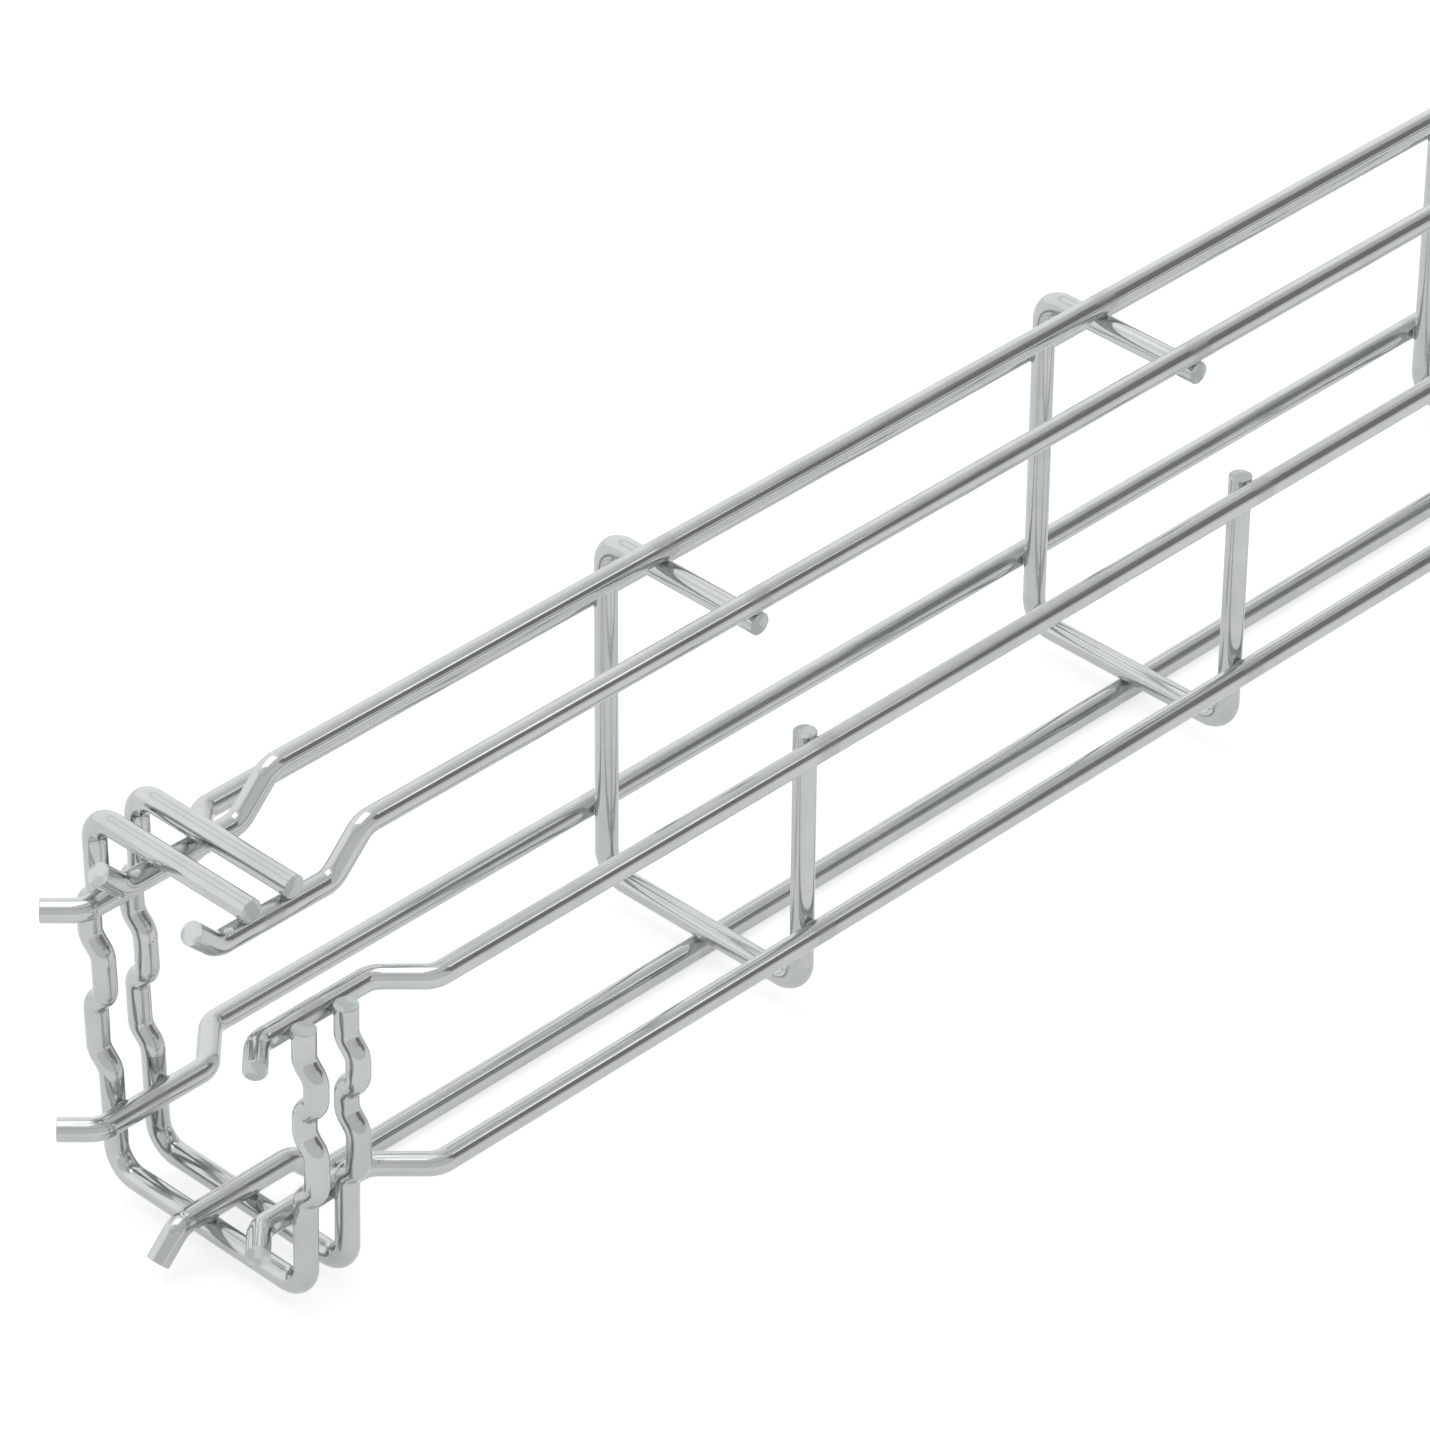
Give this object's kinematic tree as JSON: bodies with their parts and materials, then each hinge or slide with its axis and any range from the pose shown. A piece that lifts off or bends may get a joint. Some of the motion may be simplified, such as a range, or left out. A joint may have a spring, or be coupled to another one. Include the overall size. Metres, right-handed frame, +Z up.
{
  "type": "wire mesh cable tray",
  "caption": "Long G-section cable basket of welded round wire, with a front slot and a stepped self-coupling end.",
  "frame": {"origin": "on the floor, under the middle of the length and of the width", "axes": "+X along the tray from the coupling end to the plain end, +Y out of the back wall, the slotted front faces -Y, +Z up"},
  "size_m": [3.0258, 0.0538, 0.0742],
  "materials": {
    "zinc_wire": "bright zinc plate"
  },
  "bodies": {
    "root": {"back_upper_wire": "zinc_wire", "back_lower_wire": "zinc_wire", "roof_rear_wire": "zinc_wire", "roof_front_wire": "zinc_wire", "base_wire": "zinc_wire", "front_upper_wire": "zinc_wire", "front_lower_wire": "zinc_wire", "coupling_wire_outer": "zinc_wire", "coupling_wire_inner": "zinc_wire", "cross_wire_01": "zinc_wire", "cross_wire_02": "zinc_wire", "cross_wire_03": "zinc_wire", "cross_wire_04": "zinc_wire", "cross_wire_05": "zinc_wire", "cross_wire_06": "zinc_wire", "cross_wire_07": "zinc_wire", "cross_wire_08": "zinc_wire", "cross_wire_09": "zinc_wire", "cross_wire_10": "zinc_wire", "cross_wire_11": "zinc_wire", "cross_wire_12": "zinc_wire", "cross_wire_13": "zinc_wire", "cross_wire_14": "zinc_wire", "cross_wire_15": "zinc_wire", "cross_wire_16": "zinc_wire", "cross_wire_17": "zinc_wire", "cross_wire_18": "zinc_wire", "cross_wire_19": "zinc_wire", "cross_wire_20": "zinc_wire", "cross_wire_21": "zinc_wire", "cross_wire_22": "zinc_wire", "cross_wire_23": "zinc_wire", "cross_wire_24": "zinc_wire", "cross_wire_25": "zinc_wire", "cross_wire_26": "zinc_wire", "cross_wire_27": "zinc_wire", "cross_wire_28": "zinc_wire", "cross_wire_29": "zinc_wire", "cross_wire_30": "zinc_wire"}
  },
  "joints": []
}
